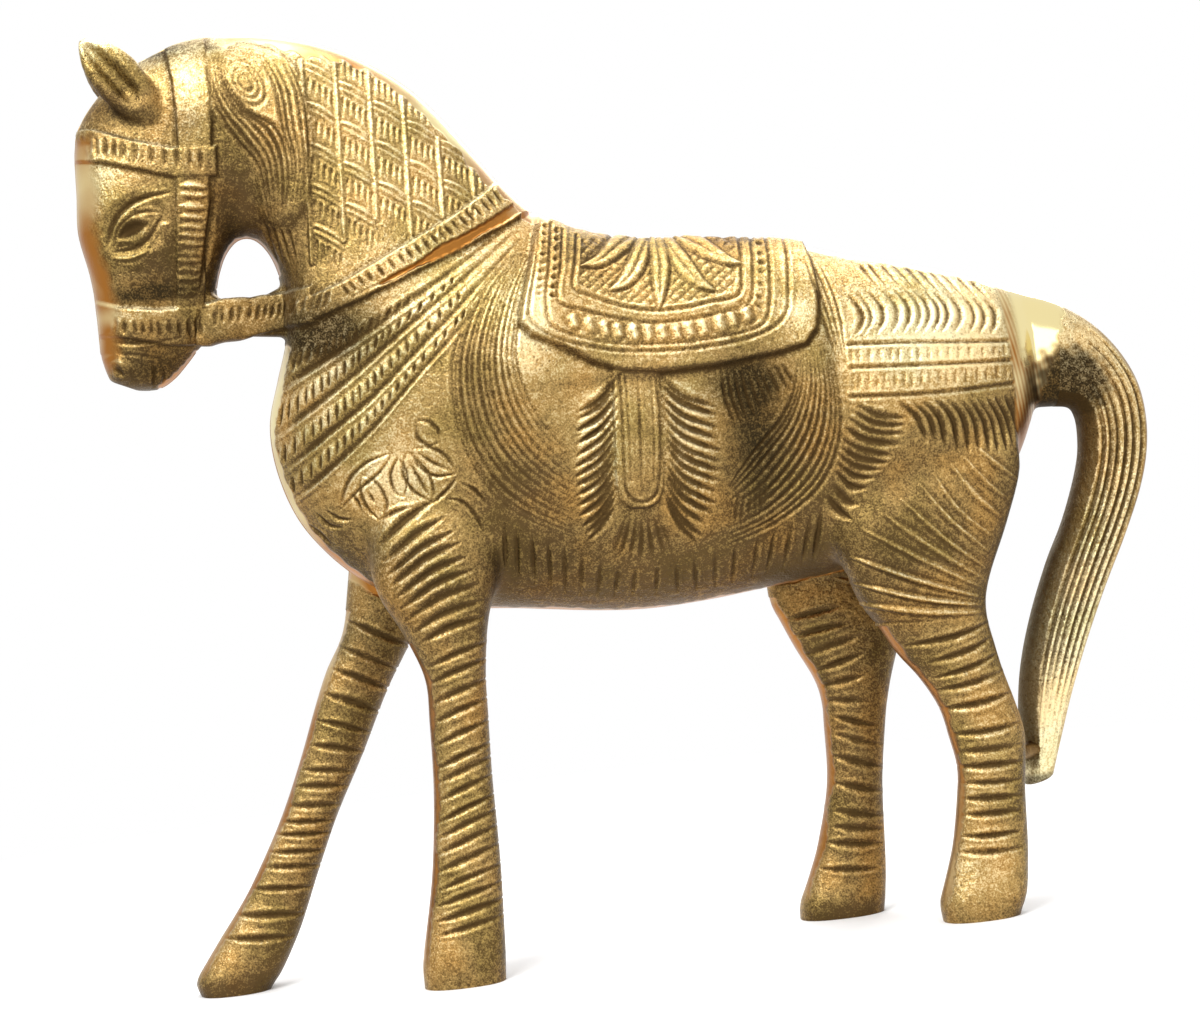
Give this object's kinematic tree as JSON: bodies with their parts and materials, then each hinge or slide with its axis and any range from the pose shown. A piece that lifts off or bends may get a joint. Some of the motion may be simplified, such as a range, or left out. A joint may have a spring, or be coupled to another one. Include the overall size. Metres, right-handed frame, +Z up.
{
  "type": "horse statue",
  "caption": "Cast brass ornament of a walking horse in saddle cloth and bridle, engraved all over, that stands on the flat soles of its four hooves.",
  "frame": {"origin": "middle of the box round the statue, on the plane that the four hooves stand on", "axes": "+Z up, -X the way the horse walks, -Y its left side"},
  "size_m": [0.2768, 0.0602, 0.2537],
  "materials": {
    "antique_brass": "engraved cast brass, dark in the strokes and rubbed bright on top",
    "ground_brass": "ground smooth, without engraving",
    "polished_brass": "ground and polished bright"
  },
  "bodies": {
    "root": {"left_body_casting": "antique_brass", "right_body_casting": "antique_brass", "left_foreleg": "antique_brass", "right_foreleg": "antique_brass", "left_hind_leg": "antique_brass", "right_hind_leg": "antique_brass", "tail": "antique_brass", "tail_root_braze": "polished_brass", "tail_tip_braze": "ground_brass", "left_foreleg_braze": "ground_brass", "right_foreleg_braze": "ground_brass", "left_hind_leg_braze": "ground_brass", "right_hind_leg_braze": "ground_brass", "back_seam_braze": "ground_brass", "crest_seam_braze": "ground_brass", "face_seam_braze": "ground_brass", "belly_seam_braze": "ground_brass", "chest_seam_braze": "ground_brass", "throat_seam_braze": "ground_brass", "jaw_seam_braze": "ground_brass"}
  },
  "joints": []
}
